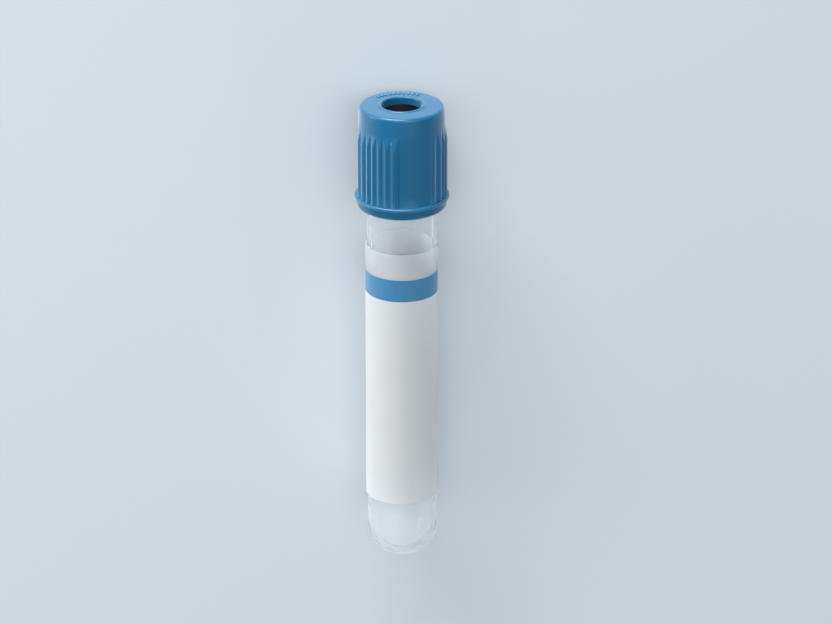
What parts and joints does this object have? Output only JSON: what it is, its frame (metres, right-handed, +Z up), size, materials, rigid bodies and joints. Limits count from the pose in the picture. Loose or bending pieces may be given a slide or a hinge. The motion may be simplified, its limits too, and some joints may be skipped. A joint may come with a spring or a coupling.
{
  "type": "blood collection tube",
  "caption": "Clear round-bottomed tube lying on its side, with a wrapped label and coloured band, a rubber stopper, and a ribbed closure that twists and pulls off.",
  "frame": {"origin": "middle of the bounding box's base, on the surface that the tube lies on", "axes": "+Z up; -Y the way the closure points, level, with the tube's own axis leaning up towards the closure by about 2 degrees; +X across the tube"},
  "size_m": [0.0208, 0.1078, 0.0209],
  "materials": {
    "clear_plastic": "clear, glossy, injection moulded",
    "label_film": "matte white film wrapped right round, with one blue printed band and a plain margin above it",
    "stopper_rubber": "matte dark rubber",
    "shield_plastic": "satin blue moulded plastic"
  },
  "bodies": {
    "tube": {"tube": "clear_plastic", "label": "label_film"},
    "stopper": {"rubber_stopper": "stopper_rubber"},
    "shield": {"cap_shield": "shield_plastic"}
  },
  "joints": [
    {"name": "closure_pull", "type": "slide", "parent": "tube", "child": "stopper", "axis": [0, -0.9994, 0.0341], "range_m": [0, 0.035]},
    {"name": "closure_twist", "type": "hinge", "parent": "stopper", "child": "shield", "pos_m": [0, -0.04602, 0.0109], "axis": [0, -0.9994, 0.0341], "continuous": true}
  ]
}
